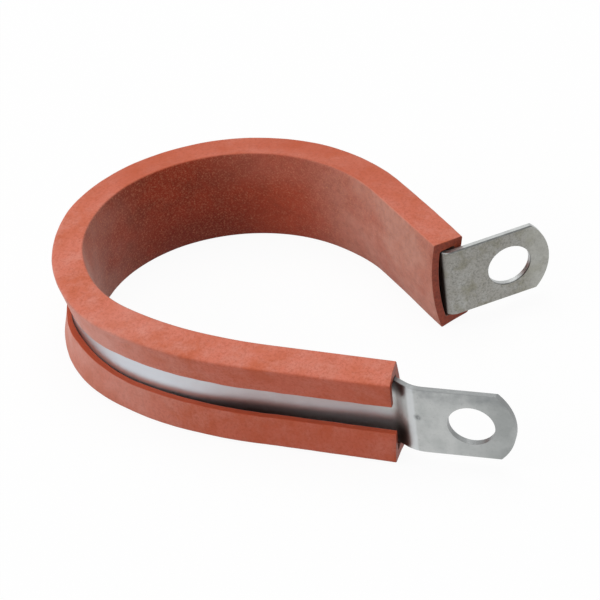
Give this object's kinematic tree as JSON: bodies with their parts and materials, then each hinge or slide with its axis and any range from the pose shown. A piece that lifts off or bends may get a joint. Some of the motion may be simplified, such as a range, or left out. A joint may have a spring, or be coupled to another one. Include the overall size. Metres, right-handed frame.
{
  "type": "pipe clamp",
  "caption": "Cushioned loop pipe clamp: a formed steel strap with a holed ear at each end, its open loop lined with a red rubber channel that curls over the strap's edges.",
  "frame": {"origin": "centre of the front ear's hole, on the ear's face that is screwed down", "axes": "+Z along the pipe that the loop holds; +X along the front ear, from the loop to the ear's tip; -Y is the outward normal of the screwed-down face"},
  "size_m": [0.0804, 0.057, 0.0168],
  "materials": {
    "stainless_strip": "rolled mill finish, satin",
    "red_silicone_rubber": "matt extruded rubber, brick red"
  },
  "bodies": {
    "root": {"steel_strap": "stainless_strip", "rubber_cushion": "red_silicone_rubber"}
  },
  "joints": []
}
